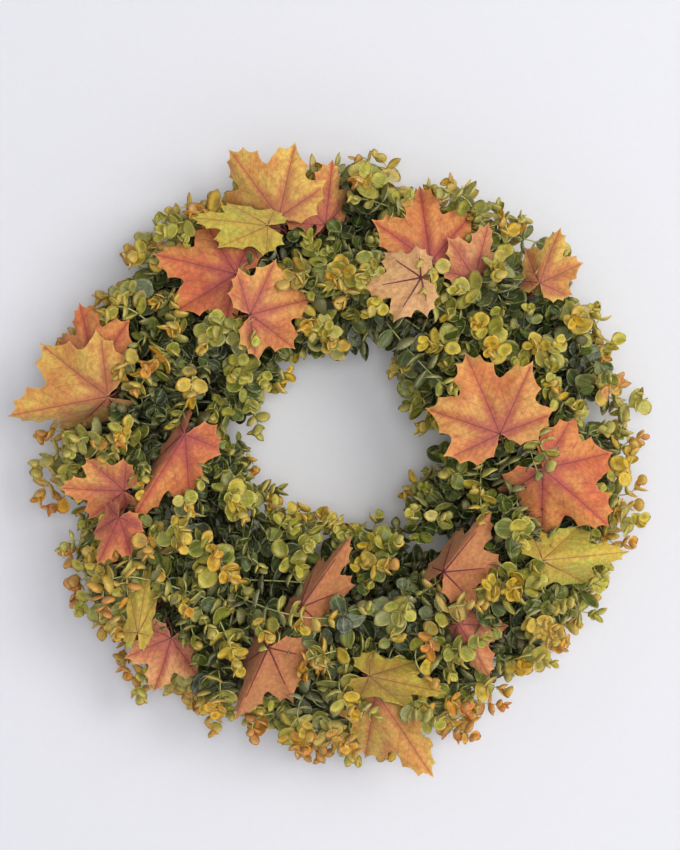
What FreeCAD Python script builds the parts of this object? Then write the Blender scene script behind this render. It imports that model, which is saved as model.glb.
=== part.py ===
"""Harvest door wreath, 24 inch class: eucalyptus and fabric maple leaves bound to a steel wire frame.

Millimetres, +Z up, the wreath faces -Y and its back lies against a door at +Y. The origin is the point
where a door hook or nail bears, at the top inside the eye of the wire hanging loop.

The frame is four rings welded to bent cross bars: two front rings and two back rings, which make a
shallow trough. Each spray is a moulded stem with a mass of leaves on it, and the stem's foot lies along
a ring under a twist of binding wire. The leaf mass is a plain bud-shaped solid. Each maple leaf is a cut
cloth blade with a moulded spine behind it, and the spine's petiole runs back to a ring.
The wreath swings on the lower eye of the hanging loop, which is closed round the back outer ring.
"""

import FreeCAD
import Part
import Sketcher
import math
import os

from FreeCAD import Placement, Rotation, Vector

DIMENSIONS = {
    # wire frame
    "frame_wire_radius": 1.8,
    "outer_ring_radius": 203.0,
    "inner_ring_radius": 140.0,
    "back_outer_ring_radius": 185.0,
    "back_inner_ring_radius": 160.0,
    "trough_depth": 22.0,
    "bar_wire_radius": 1.5,
    "bar_count": 8,
    "bar_overhang": 4.0,
    "bar_bend_radius": 5.0,
    "weld_bite": 0.1,
    # hanging loop
    "loop_wire_radius": 1.1,
    "eye_inner_radius": 9.0,
    "shank_radius": 1.9,
    "shank_length": 14.0,
    "hinge_clearance": 0.5,
    # sprays
    "stem_radius": 1.2,
    "stem_bend_radius": 8.0,
    "foot_length": 16.0,
    "foot_gap": 0.1,
    "bud_base_radius": 6.0,
    "outer_bud_length": 96.0,
    "outer_bud_radius": 38.0,
    "slim_bud_length": 96.0,
    "slim_bud_radius": 14.0,
    "outer_neck": 6.0,
    "inner_bud_length": 52.0,
    "inner_bud_radius": 30.0,
    "inner_neck": 4.0,
    "tall_bud_length": 96.0,
    "tall_bud_radius": 32.0,
    "short_bud_length": 56.0,
    "short_bud_radius": 24.0,
    "front_neck": 24.0,
    # binding wire
    "tie_wire_radius": 0.45,
    "tie_tail_length": 7.0,
    # maple picks
    "blade_thickness": 1.0,
    "blade_lap": 0.5,
    "rib_radius": 0.8,
    "rib_bite": 0.1,
    "petiole_radius": 1.0,
    "hub_radius": 1.5,
    "pick_stem_radius": 1.4,
    "pick_bend_radius": 5.0,
    "pick_foot": 12.0,
    "pick_tie_inset": 4.0,
    "pick_fork_depth": 62.0,
    "fork_radius": 2.2,
}

# Angles in this file are anticlockwise from +X, seen from the front.
OUTER_TILT = 12.0  # degrees that the outer sprays lean to the front, away from the door
INNER_TILT = 28.0
FRONT_LEAN = 88.0  # the front sprays stand almost straight out from the door

# Angles of the ties, which stand between the feet of the maple picks, and whether the bud is full.
# Slim and short buds sit under a maple leaf.
OUTER_SPRAYS = [
    (22, True),
    (52, False),
    (82, False),
    (114, False),
    (141, True),
    (175, False),
    (204, True),
    (232, False),
    (260, False),
    (290, False),
    (320, True),
    (352, True),
]
INNER_SPRAYS = [40, 90, 140, 192, 226, 284, 340]
FRONT_SPRAYS = [
    (32, True),
    (85, True),
    (141, False),
    (178, False),
    (214, True),
    (267, False),
    (288, False),
    (330, False),
]

# Right half of a maple blade from its base to its tip, as percentages of the blade's length.
HALF_BLADE = [
    (7, -10),
    (17, -22),
    (28, -21),
    (39, -25),
    (45, -15),
    (57, -14),
    (60, -5),
    (72, 2),
    (62, 9),
    (55, 16),
    (55, 22),
    (66, 29),
    (63, 40),
    (70, 63),
    (56, 61),
    (50, 69),
    (35, 63),
    (26, 60),
    (23, 66),
    (27, 80),
    (18, 84),
    (15, 95),
    (7, 94),
]
BLADE_TIP = (0, 105)
# The tip of each rib of a spine, in the same percentages; the first is the midrib.
RIB_TIPS = [(0, 90), (58, 52), (-58, 52), (54, -2), (-54, -2)]

# Each maple leaf: angle and radius of its base about the wreath's centre, distance of its base in
# front of the back rings, heading of its midrib, pitch of its tip towards the front, roll about the
# midrib, length of its blade, rise of its left and right halves towards the side it faces, and its
# breadth as a share of the outline above. A roll past 90 degrees shows the underside.
MAPLE_LEAVES = {
    "top_left_upright": (104.5, 250, 106, 126, -4, 0, 84, -50, 8, 1.0),
    "top_edge": (94, 236, 91, 84, -3, 4, 64, 8, -58, 1.0),
    "top_left_yellow": (107.5, 242, 136, 171, -4, 6, 76, -30, -46, 0.56),
    "top_left_orange": (119.5, 212, 124, 166, -6, -4, 82, 14, -34, 0.92),
    "top_left_front": (122, 169, 142, 17, -16, 0, 68, 14, -26, 1.0),
    "left_red": (160, 262, 96, 103, -3, 6, 68, -58, 18, 1.0),
    "left_large": (164.5, 240, 114, 191, -8, -4, 102, -62, -8, 0.92),
    "left_inner": (170, 156, 134, 238, -10, -6, 98, -12, -76, 0.6),
    "left_lower": (187.8, 218, 104, 178, -4, 6, 62, -40, 30, 0.82),
    "left_bottom": (194, 226, 122, 244, -8, 4, 52, 10, -46, 0.78),
    "lower_left_yellow": (220, 264, 110, 82, -6, 0, 72, -40, -52, 0.42),
    "lower_left_pink": (226, 246, 84, 252, -8, 8, 56, -28, 10, 1.0),
    "bottom_left_inner": (254.3, 148, 128, 54, -8, 176, 82, 50, 74, 0.8),
    "bottom_left_outer": (248.4, 196, 126, 246, -12, 180, 78, 72, 34, 1.0),
    "bottom_yellow": (277.2, 212, 130, 347, -6, -6, 78, -34, -44, 0.56),
    "bottom_large": (278.3, 231, 104, 303, -8, 6, 104, -56, -30, 0.85),
    "lower_right_inner": (312.6, 147, 130, 50, -8, 180, 74, 30, 78, 1.0),
    "lower_right_outer": (305.6, 197, 112, 300, -16, 10, 66, -36, -44, 1.0),
    "right_yellow": (333.7, 221, 112, 5, -10, -4, 88, -40, -48, 0.68),
    "right_large": (358, 197, 126, 321, -12, -6, 92, -12, -44, 1.0),
    "right_front": (10, 157, 134, 113, -4, -6, 84, 8, 10, 1.0),
    "top_right_orange": (66, 216, 108, 98, -12, -4, 82, 12, -20, 0.92),
    "top_right_tan": (66.7, 196, 138, 190, -10, 180, 56, 34, 10, 1.0),
    "top_right_yellow": (42, 264, 104, 70, -6, 6, 56, -56, 12, 0.9),
    "top_right_pink": (54, 224, 108, 76, -10, 0, 54, 14, -56, 1.0),
}
# Each maple pick, as the angle of its foot, whether it is tied to the front outer ring, and its leaves.
MAPLE_PICKS = [
    (104, True, ("top_left_upright", "top_edge", "top_left_yellow")),
    (125, True, ("top_left_orange", "top_left_front")),
    (158, True, ("left_red", "left_large")),
    (172, False, ("left_inner",)),
    (192, True, ("left_lower", "left_bottom")),
    (218, True, ("lower_left_yellow", "lower_left_pink")),
    (254, False, ("bottom_left_inner", "bottom_left_outer")),
    (280, True, ("bottom_yellow", "bottom_large")),
    (314, False, ("lower_right_inner", "lower_right_outer")),
    (342, True, ("right_yellow", "right_large")),
    (10, False, ("right_front",)),
    (66, True, ("top_right_orange", "top_right_tan")),
    (42, True, ("top_right_yellow", "top_right_pink")),
]

doc = FreeCAD.newDocument("harvest_door_wreath")
sheet = doc.addObject("Spreadsheet::Sheet", "dims")
for row, (alias, value) in enumerate(DIMENSIONS.items(), start=1):
    sheet.set(f"A{row}", alias)
    sheet.set(f"B{row}", str(value))
    sheet.setAlias(f"B{row}", alias)
doc.recompute()

NODES = []  # every object that is written to parts/


def dim(alias):
    """A driving dimension, as the spreadsheet holds it."""
    return float(sheet.get(alias))


def cell(alias):
    """The expression that binds a property to a driving dimension."""
    return f"<<dims>>.{alias}"


def node(obj, label):
    """Marks a finished object as a sub-part, under the label that names its file."""
    obj.Label = label
    NODES.append(obj)
    return obj


# Places that follow from the driving dimensions

EYE_CENTRE_Z = -dim("eye_inner_radius")
SHANK_TOP_Z = EYE_CENTRE_Z - dim("eye_inner_radius") - dim("loop_wire_radius")
HINGE_EYE_RADIUS = dim("frame_wire_radius") + dim("hinge_clearance") + dim("loop_wire_radius")
HINGE_Z = SHANK_TOP_Z - dim("shank_length") - HINGE_EYE_RADIUS
CENTRE_Z = HINGE_Z - dim("back_outer_ring_radius")
FRONT_RING_Y = -dim("trough_depth")
FOOT_OFFSET = dim("frame_wire_radius") + dim("stem_radius") + dim("foot_gap")


def radial(angle):
    """The unit vector away from the wreath's centre at an angle seen from the front."""
    return Vector(math.cos(math.radians(angle)), 0, math.sin(math.radians(angle)))


def tangent(angle):
    """The unit vector along a ring at an angle, anticlockwise seen from the front."""
    return Vector(-math.sin(math.radians(angle)), 0, math.cos(math.radians(angle)))


def polar(angle, radius, y=0.0):
    """A point at an angle and a radius about the wreath's centre, at a depth."""
    return radial(angle) * radius + Vector(0, y, CENTRE_Z)


def axes_placement(position, x_axis, z_axis):
    """A placement that turns local X and Z to the given axes."""
    y_axis = z_axis.cross(x_axis)
    return Placement(position, Rotation(x_axis, y_axis, z_axis, "ZXY"))


def origin_plane(body, role):
    return next(f for f in body.Origin.OriginFeatures if f.Role == role)


def sketch_on(body, role, name):
    """A new sketch on one of a body's own origin planes."""
    sketch = body.newObject("Sketcher::SketchObject", name)
    sketch.AttachmentSupport = [(origin_plane(body, role), "")]
    sketch.MapMode = "FlatFace"
    return sketch


def bind(sketch, constraint, name, expression):
    """Adds a named dimension to a sketch and binds it to an expression."""
    index = sketch.addConstraint(constraint)
    sketch.renameConstraint(index, name)
    sketch.setExpression(f"Constraints.{name}", expression)


# Wire frame


def frame_ring(label, radius_cell, y):
    """One ring of round steel wire about the wreath's centre."""
    ring = doc.addObject("Part::Torus", label)
    ring.setExpression("Radius1", cell(radius_cell))
    ring.setExpression("Radius2", cell("frame_wire_radius"))
    ring.Placement = Placement(Vector(0, y, CENTRE_Z), Rotation(Vector(1, 0, 0), 90))
    return node(ring, label)


def bent_path(points, bend_radius):
    """Straight runs between the points, joined by tangent arcs of one radius."""
    edges = []
    start = points[0]
    for before, corner, after in zip(points, points[1:], points[2:]):
        arrive = (corner - before).normalize()
        leave = (after - corner).normalize()
        turn = arrive.getAngle(leave)
        cut = bend_radius * math.tan(turn / 2)
        arc_start = corner - arrive * cut
        arc_end = corner + leave * cut
        inward = (leave - arrive).normalize()
        centre = corner + inward * (bend_radius / math.cos(turn / 2))
        middle = centre - inward * bend_radius
        edges.append(Part.LineSegment(start, arc_start).toShape())
        edges.append(Part.Arc(arc_start, middle, arc_end).toShape())
        start = arc_end
    edges.append(Part.LineSegment(start, points[-1]).toShape())
    return Part.Wire(edges)


def bent_wire(points, bend_radius, wire_radius):
    """A solid round wire along straight runs and tangent arcs."""
    path = bent_path(points, bend_radius)
    section = Part.Wire(Part.makeCircle(wire_radius, points[0], points[1] - points[0]))
    return path.makePipeShell([section], True, True)


def cross_bars():
    """The bent bars behind the rings, which hold the four rings at their spacing."""
    reach = dim("frame_wire_radius") + dim("bar_wire_radius") - dim("weld_bite")
    front_y = FRONT_RING_Y + reach
    back_y = reach
    overhang = dim("bar_overhang")
    radii_and_depths = [
        (dim("outer_ring_radius") + overhang, front_y),
        (dim("outer_ring_radius") - overhang, front_y),
        (dim("back_outer_ring_radius") + overhang, back_y),
        (dim("back_inner_ring_radius") - overhang, back_y),
        (dim("inner_ring_radius") + overhang, front_y),
        (dim("inner_ring_radius") - overhang, front_y),
    ]
    count = int(dim("bar_count"))
    bars = []
    for i in range(count):
        angle = 360.0 * (i + 0.5) / count
        points = [polar(angle, radius, y) for radius, y in radii_and_depths]
        bars.append(bent_wire(points, dim("bar_bend_radius"), dim("bar_wire_radius")))
    group = doc.addObject("Part::Feature", "cross_bars")
    group.Shape = Part.makeCompound(bars)
    return node(group, "cross_bars")


# Hanging loop


def hanging_loop():
    """A wire loop with a round eye for the hook, a twisted shank and a small eye closed round the ring."""
    eye = doc.addObject("Part::Torus", "hook_eye")
    eye.setExpression("Radius1", f"{cell('eye_inner_radius')} + {cell('loop_wire_radius')}")
    eye.setExpression("Radius2", cell("loop_wire_radius"))
    eye.Placement = Placement(Vector(0, 0, EYE_CENTRE_Z), Rotation(Vector(1, 0, 0), 90))
    shank = doc.addObject("Part::Cylinder", "loop_shank")
    shank.setExpression("Radius", cell("shank_radius"))
    shank.setExpression("Height", cell("shank_length"))
    shank.Placement = Placement(Vector(0, 0, SHANK_TOP_Z - dim("shank_length")), Rotation())
    hinge = doc.addObject("Part::Torus", "hinge_eye")
    hinge.setExpression(
        "Radius1",
        f"{cell('frame_wire_radius')} + {cell('hinge_clearance')} + {cell('loop_wire_radius')}",
    )
    hinge.setExpression("Radius2", cell("loop_wire_radius"))
    hinge.Placement = Placement(Vector(0, 0, HINGE_Z), Rotation(Vector(0, 1, 0), 90))
    loop = doc.addObject("Part::MultiFuse", "hanging_loop")
    loop.Shapes = [eye, shank, hinge]
    return node(loop, "hanging_loop")


# Sprays

BELLY = 0.5  # share of a bud's length at which it is widest
BELLY_CURVE = 0.45  # radius of the belly's rounding, as a share of the bud's radius


def touch_angle(centre, radius, point, side):
    """The angle on a circle of the tangent from a point, on the chosen side."""
    away = point - centre
    return math.atan2(away.y, away.x) + side * math.acos(radius / away.Length)


def bud_sketch(body, length_cell, radius_cell):
    """Half of a bud's outline beside the body's Z axis: a flaring base, a round belly and a pointed tip."""
    length = dim(length_cell)
    radius = dim(radius_cell)
    base = dim("bud_base_radius")
    curve = BELLY_CURVE * radius
    centre = Vector(radius - curve, BELLY * length, 0)
    base_corner = Vector(base, 0, 0)
    tip = Vector(0, length, 0)
    low_angle = touch_angle(centre, curve, base_corner, 1)
    top_angle = touch_angle(centre, curve, tip, -1)
    low_touch = centre + Vector(math.cos(low_angle), math.sin(low_angle), 0) * curve
    top_touch = centre + Vector(math.cos(top_angle), math.sin(top_angle), 0) * curve
    belly_circle = Part.Circle(centre, Vector(0, 0, 1), curve)
    sketch = sketch_on(body, "XZ_Plane", "bud_outline")
    axis, foot, flare, belly, point = sketch.addGeometry(
        [
            Part.LineSegment(tip, Vector(0, 0, 0)),
            Part.LineSegment(Vector(0, 0, 0), base_corner),
            Part.LineSegment(base_corner, low_touch),
            Part.ArcOfCircle(belly_circle, low_angle, top_angle),
            Part.LineSegment(top_touch, tip),
        ],
        False,
    )
    start, end, middle = 1, 2, 3
    root = -1
    c = Sketcher.Constraint
    sketch.addConstraint(
        [
            c("Coincident", axis, end, root, start),
            c("Coincident", foot, start, root, start),
            c("Vertical", axis),
            c("Horizontal", foot),
            c("Coincident", foot, end, flare, start),
            c("Tangent", flare, end, belly, start),
            c("Tangent", belly, end, point, start),
            c("Coincident", point, end, axis, start),
        ]
    )
    radius_share = f"* {cell(radius_cell)}"
    bind(sketch, c("DistanceY", root, start, axis, start, length), "bud_length", cell(length_cell))
    bind(sketch, c("DistanceX", root, start, foot, end, base), "bud_base", cell("bud_base_radius"))
    bind(sketch, c("Radius", belly, curve), "belly_curve", f"{BELLY_CURVE} {radius_share}")
    bind(
        sketch,
        c("DistanceX", root, start, belly, middle, centre.x),
        "belly_offset",
        f"{1 - BELLY_CURVE} {radius_share}",
    )
    bind(
        sketch,
        c("DistanceY", root, start, belly, middle, centre.y),
        "belly_height",
        f"{BELLY} * {cell(length_cell)}",
    )
    return sketch


def stem_sketches(body, neck_cell):
    """The stem's round section and its path: down the neck, round the bend, and along the foot."""
    neck = dim(neck_cell)
    bend = dim("stem_bend_radius")
    foot = dim("foot_length")
    c = Sketcher.Constraint
    start, end = 1, 2
    root = -1
    section = sketch_on(body, "XY_Plane", "stem_section")
    circle = section.addGeometry(
        Part.Circle(Vector(0, 0, 0), Vector(0, 0, 1), dim("stem_radius")), False
    )
    section.addConstraint(c("Coincident", circle, 3, root, start))
    bind(section, c("Radius", circle, dim("stem_radius")), "stem_radius", cell("stem_radius"))

    path = sketch_on(body, "XZ_Plane", "stem_path")
    bend_circle = Part.Circle(Vector(-bend, -neck, 0), Vector(0, 0, 1), bend)
    down, round_bend, along = path.addGeometry(
        [
            Part.LineSegment(Vector(0, 0, 0), Vector(0, -neck, 0)),
            Part.ArcOfCircle(bend_circle, -math.pi / 2, 0),
            Part.LineSegment(Vector(-bend, -neck - bend, 0), Vector(-bend - foot, -neck - bend, 0)),
        ],
        False,
    )
    path.addConstraint(
        [
            c("Coincident", down, start, root, start),
            c("Vertical", down),
            c("Horizontal", along),
            c("Tangent", down, end, round_bend, end),
            c("Tangent", along, start, round_bend, start),
        ]
    )
    bind(path, c("DistanceY", down, end, root, start, neck), "neck", cell(neck_cell))
    bind(path, c("Radius", round_bend, bend), "bend_radius", cell("stem_bend_radius"))
    bind(path, c("DistanceX", along, end, along, start, foot), "foot", cell("foot_length"))
    return section, path


def spray(label, length_cell, radius_cell, neck_cell, placement):
    """One moulded spray: a bud of leaves on a stem, whose foot lies along a ring."""
    body = doc.addObject("PartDesign::Body", label)
    outline = bud_sketch(body, length_cell, radius_cell)
    bud = body.newObject("PartDesign::Revolution", "bud")
    bud.Profile = outline
    bud.ReferenceAxis = (outline, ["V_Axis"])
    bud.Angle = 360
    section, path = stem_sketches(body, neck_cell)
    stem = body.newObject("PartDesign::AdditivePipe", "stem")
    stem.Profile = section
    stem.Spine = (path, ["Edge1", "Edge2", "Edge3"])
    body.Tip = stem
    body.Placement = placement
    return node(body, label)


TIES = []  # the middle of each tied foot: point on the ring, ring direction, and way the tail points


def tied_spray(label, sizes, angle, ring_radius, ring_y, outward, tilt, tail):
    """A spray tied by its foot to a ring. Outward is 1 away from the wreath's centre and -1 towards it."""
    length_cell, radius_cell, neck_cell = sizes
    lean = math.radians(tilt)
    axis = radial(angle) * (outward * math.cos(lean)) + Vector(0, -math.sin(lean), 0)
    along = tangent(angle)
    tie = polar(angle, ring_radius, ring_y)
    foot_middle = tie + Vector(0, -FOOT_OFFSET, 0)
    rise = dim(neck_cell) + dim("stem_bend_radius")
    run = dim("stem_bend_radius") + dim("foot_length") / 2
    placement = axes_placement(foot_middle + along * run + axis * rise, along, axis)
    TIES.append((tie, along, radial(angle) * tail))
    return spray(label, length_cell, radius_cell, neck_cell, placement)


def sprays():
    full = ("outer_bud_length", "outer_bud_radius", "outer_neck")
    slim = ("slim_bud_length", "slim_bud_radius", "outer_neck")
    for i, (angle, is_full) in enumerate(OUTER_SPRAYS):
        sizes = full if is_full else slim
        label = f"outer_spray_{i + 1:02d}"
        tied_spray(label, sizes, angle, dim("outer_ring_radius"), FRONT_RING_Y, 1, OUTER_TILT, -1)
    inner = ("inner_bud_length", "inner_bud_radius", "inner_neck")
    for i, angle in enumerate(INNER_SPRAYS):
        label = f"inner_spray_{i + 1:02d}"
        tied_spray(label, inner, angle, dim("inner_ring_radius"), FRONT_RING_Y, -1, INNER_TILT, 1)
    tall = ("tall_bud_length", "tall_bud_radius", "front_neck")
    short = ("short_bud_length", "short_bud_radius", "front_neck")
    for i, (angle, is_tall) in enumerate(FRONT_SPRAYS):
        sizes = tall if is_tall else short
        label = f"front_spray_{i + 1:02d}"
        tied_spray(label, sizes, angle, dim("back_outer_ring_radius"), 0.0, 1, FRONT_LEAN, -1)


# Maple leaves


def half_outline(leaf, side):
    """Half of a blade's outline on one side of its midrib, with a lap across the midrib at its base."""
    length, broad = leaf[6], leaf[9]
    lap = dim("blade_lap")
    corners = [Vector(side * -lap, 0, 0)]
    for x, y in HALF_BLADE:
        corners.append(Vector(side * x * broad * length / 100, y * length / 100, 0))
    tip = BLADE_TIP[1] * length / 100
    corners.append(Vector(0, tip, 0))
    corners.append(Vector(side * -lap, tip - lap, 0))
    return corners


def leaf_axes(heading, pitch, roll):
    """The across, along and facing axes of a leaf, turned from flat against the door."""
    along = radial(heading)
    front = Vector(0, -1, 0)
    across = along.cross(front)
    rolled = Rotation(along, roll)
    across = rolled.multVec(across)
    facing = rolled.multVec(front)
    pitched = Rotation(radial(heading).cross(front), pitch)
    return pitched.multVec(across), pitched.multVec(along), pitched.multVec(facing)


def leaf_placement(leaf):
    angle, radius, depth, heading, pitch, roll = leaf[:6]
    across, along, facing = leaf_axes(heading, pitch, roll)
    return Placement(polar(angle, radius, -depth), Rotation(across, along, facing, "ZXY"))


def half_turn(leaf, side):
    """The turn about the midrib that raises one half of a blade by its fold."""
    left, right = leaf[7], leaf[8]
    return Rotation(Vector(0, 1, 0), -right if side > 0 else left)


def maple_blade(name, leaf):
    """A blade of stiffened cloth with the outline of a maple leaf, folded along its midrib."""
    label = f"maple_leaf_{name}"
    body = doc.addObject("PartDesign::Body", label)
    for side, half in ((1, "right_half"), (-1, "left_half")):
        sketch = sketch_on(body, "XY_Plane", f"{half}_outline")
        sketch.AttachmentOffset = Placement(Vector(0, 0, 0), half_turn(leaf, side))
        corners = half_outline(leaf, side)
        lines = [Part.LineSegment(a, b) for a, b in zip(corners, corners[1:] + corners[:1])]
        sketch.addGeometry(lines, False)
        pad = body.newObject("PartDesign::Pad", half)
        pad.Profile = sketch
        pad.SideType = "Symmetric"
        pad.setExpression("Length", cell("blade_thickness"))
    body.Placement = leaf_placement(leaf)
    return node(body, label)


def maple_spine(leaf):
    """The moulded ribs behind a blade, joined at a round hub under its base."""
    length, broad = leaf[6], leaf[9]
    depth = dim("blade_thickness") / 2 + dim("rib_radius") - dim("rib_bite")
    hub = Part.makeSphere(dim("hub_radius"), Vector(0, 0, -dim("hub_radius")))
    ribs = []
    for x, y in RIB_TIPS:
        turn = half_turn(leaf, x) if x else Rotation()
        base = turn.multVec(Vector(0, 0, -depth))
        run = turn.multVec(Vector(x * broad * length / 100, y * length / 100, 0))
        ribs.append(Part.makeCylinder(dim("rib_radius"), run.Length, base, run))
    spine = hub.fuse(ribs)
    spine.Placement = leaf_placement(leaf)
    return spine


def maple_pick(foot_angle, on_outer_ring, names):
    """A stem tied along a ring, standing out to a fork, with a petiole from the fork to each leaf's hub."""
    leaves = [MAPLE_LEAVES[name] for name in names]
    ring = dim("outer_ring_radius") if on_outer_ring else dim("inner_ring_radius")
    mean_radius = sum(leaf[1] for leaf in leaves) / len(leaves)
    fork = polar(foot_angle, (ring + mean_radius) / 2, -dim("pick_fork_depth"))
    offset = dim("frame_wire_radius") + dim("pick_stem_radius") + dim("foot_gap")
    bend = polar(foot_angle, ring, FRONT_RING_Y - offset)
    along = tangent(foot_angle)
    foot_end = bend - along * dim("pick_foot")
    inward = -1 if on_outer_ring else 1
    tie = polar(foot_angle, ring, FRONT_RING_Y) - along * (dim("pick_foot") - dim("pick_tie_inset"))
    TIES.append((tie, along, radial(foot_angle) * inward))
    stem = bent_wire([foot_end, bend, fork], dim("pick_bend_radius"), dim("pick_stem_radius"))
    pieces = [Part.makeSphere(dim("fork_radius"), fork)]
    for leaf in leaves:
        hub = leaf_placement(leaf).multVec(Vector(0, 0, -dim("hub_radius")))
        run = hub - fork
        pieces.append(Part.makeCylinder(dim("petiole_radius"), run.Length, fork, run))
        pieces.append(maple_spine(leaf))
    return stem.fuse(pieces)


def maple_leaves():
    for name, leaf in MAPLE_LEAVES.items():
        maple_blade(name, leaf)
    group = doc.addObject("Part::Feature", "maple_pick_stems")
    group.Shape = Part.makeCompound([maple_pick(*pick) for pick in MAPLE_PICKS])
    node(group, "maple_pick_stems")


def binding_ties():
    """A loop of binding wire round the ring and each foot, with its twisted tail."""
    wire = dim("tie_wire_radius")
    half_bundle = dim("frame_wire_radius") + dim("stem_radius") + dim("foot_gap") / 2
    loop_radius = half_bundle + wire + dim("foot_gap")
    offset = Vector(0, dim("frame_wire_radius") - half_bundle, 0)
    ties = []
    for point, along, tail in TIES:
        centre = point + offset
        loop = Part.makeTorus(loop_radius, wire, centre, along)
        start = centre + tail * loop_radius
        ties.append(loop.fuse(Part.makeCylinder(1.8 * wire, dim("tie_tail_length"), start, tail)))
    group = doc.addObject("Part::Feature", "binding_ties")
    group.Shape = Part.makeCompound(ties)
    return node(group, "binding_ties")


def check_document():
    """Stops at any object that failed, and at any sub-part with no sound solid."""
    for obj in doc.Objects:
        if {"Invalid", "Error"} & set(obj.State):
            raise RuntimeError(f"{obj.Label} failed: {obj.State}")
    for obj in NODES:
        shape = obj.Shape
        if shape.isNull() or not shape.isValid() or not shape.Solids:
            raise RuntimeError(f"{obj.Label} has no sound solid")


def write_parts():
    os.makedirs("parts", exist_ok=True)
    for obj in NODES:
        obj.Shape.exportStep(os.path.join("parts", obj.Label + ".step"))


frame_ring("front_outer_ring", "outer_ring_radius", FRONT_RING_Y)
frame_ring("front_inner_ring", "inner_ring_radius", FRONT_RING_Y)
frame_ring("back_outer_ring", "back_outer_ring_radius", 0)
frame_ring("back_inner_ring", "back_inner_ring_radius", 0)
cross_bars()
hanging_loop()
sprays()
maple_leaves()
binding_ties()
doc.recompute()
check_document()
write_parts()
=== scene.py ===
"""Looks of the harvest door wreath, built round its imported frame. Metres, +Z up; the wreath faces -Y.

Eucalyptus sprays are moulded twigs of opposite, cupped leaves. The tips of the twigs are spread over a
rounded envelope about the wire frame, and each twig grows from a stem of a nearby spray. The maple
leaves are thin folded blades with printed veins on moulded stems.
"""

import math

import bpy
import numpy as np
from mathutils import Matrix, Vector
from mathutils.geometry import delaunay_2d_cdt


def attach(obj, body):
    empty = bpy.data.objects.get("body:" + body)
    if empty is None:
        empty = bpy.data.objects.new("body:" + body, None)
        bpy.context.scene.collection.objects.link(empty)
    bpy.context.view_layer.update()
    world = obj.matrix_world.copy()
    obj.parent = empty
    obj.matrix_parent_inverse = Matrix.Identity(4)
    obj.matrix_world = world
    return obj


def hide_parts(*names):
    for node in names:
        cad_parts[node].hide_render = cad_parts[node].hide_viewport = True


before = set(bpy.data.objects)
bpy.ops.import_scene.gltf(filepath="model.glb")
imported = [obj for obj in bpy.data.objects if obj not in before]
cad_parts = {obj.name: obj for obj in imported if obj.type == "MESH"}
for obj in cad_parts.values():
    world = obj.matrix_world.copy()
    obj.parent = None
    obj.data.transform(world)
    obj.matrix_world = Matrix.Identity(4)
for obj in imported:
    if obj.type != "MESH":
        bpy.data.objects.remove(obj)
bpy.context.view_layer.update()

MM = 0.001
CENTRE_Z = -0.2215  # height of the wreath's centre below the hook
CENTRE = np.array([0.0, 0.0, CENTRE_Z])
FRONT = np.array([0.0, -1.0, 0.0])
UP = np.array([0.0, 0.0, 1.0])

# Wire frame, as in the CAD
WIRE = 1.8 * MM
OUTER_RING, INNER_RING = 203 * MM, 140 * MM
BACK_OUTER_RING, BACK_INNER_RING = 185 * MM, 160 * MM
TROUGH = 22 * MM
BAR_COUNT = 8
FOOT_OFFSET = 3.1 * MM
PICK_OFFSET = 3.3 * MM
HINGE_Z = -36.5 * MM

# Angles of the ties, anticlockwise from +X as seen from the front
OUTER_SPRAYS = [22, 52, 82, 114, 141, 175, 204, 232, 260, 290, 320, 352]
INNER_SPRAYS = [40, 90, 140, 192, 226, 284, 340]
FRONT_SPRAYS = [32, 85, 141, 178, 214, 267, 288, 330]
OUTER_TILT, INNER_TILT, FRONT_LEAN = 12, 28, 88

# Families of sprays: their ties, ring and its place along Y, 1 outwards or -1 inwards, how far forward they
# lean, and the lengths of a stem's neck and top in millimetres
SPRAY_FAMILIES = {
    "outer_spray": (OUTER_SPRAYS, OUTER_RING, -TROUGH, 1, OUTER_TILT, 6, 34),
    "front_spray": (FRONT_SPRAYS, BACK_OUTER_RING, 0.0, 1, FRONT_LEAN, 24, 34),
    "inner_spray": (INNER_SPRAYS, INNER_RING, -TROUGH, -1, INNER_TILT, 4, 16),
}


# Vectors


def unit(v):
    return v / np.linalg.norm(v)


def radial(angle):
    """The unit vector away from the wreath's centre, at an angle in degrees."""
    a = math.radians(angle)
    return np.array([math.cos(a), 0.0, math.sin(a)])


def tangent(angle):
    a = math.radians(angle)
    return np.array([-math.sin(a), 0.0, math.cos(a)])


def polar(angle, radius, y=0.0):
    return CENTRE + radial(angle) * radius + np.array([0.0, y, 0.0])


def turned(v, axis, angle):
    """A vector turned about a unit axis, by an angle in radians."""
    c, s = math.cos(angle), math.sin(angle)
    return v * c + np.cross(axis, v) * s + axis * np.dot(axis, v) * (1 - c)


def smooth(low, high, x):
    """0 below low, 1 above high, and a smooth rise between."""
    t = np.clip((x - low) / (high - low), 0, 1)
    return t * t * (3 - 2 * t)


# Meshes


def new_object(name, data):
    obj = bpy.data.objects.new(name, data)
    bpy.context.scene.collection.objects.link(obj)
    return obj


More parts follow.
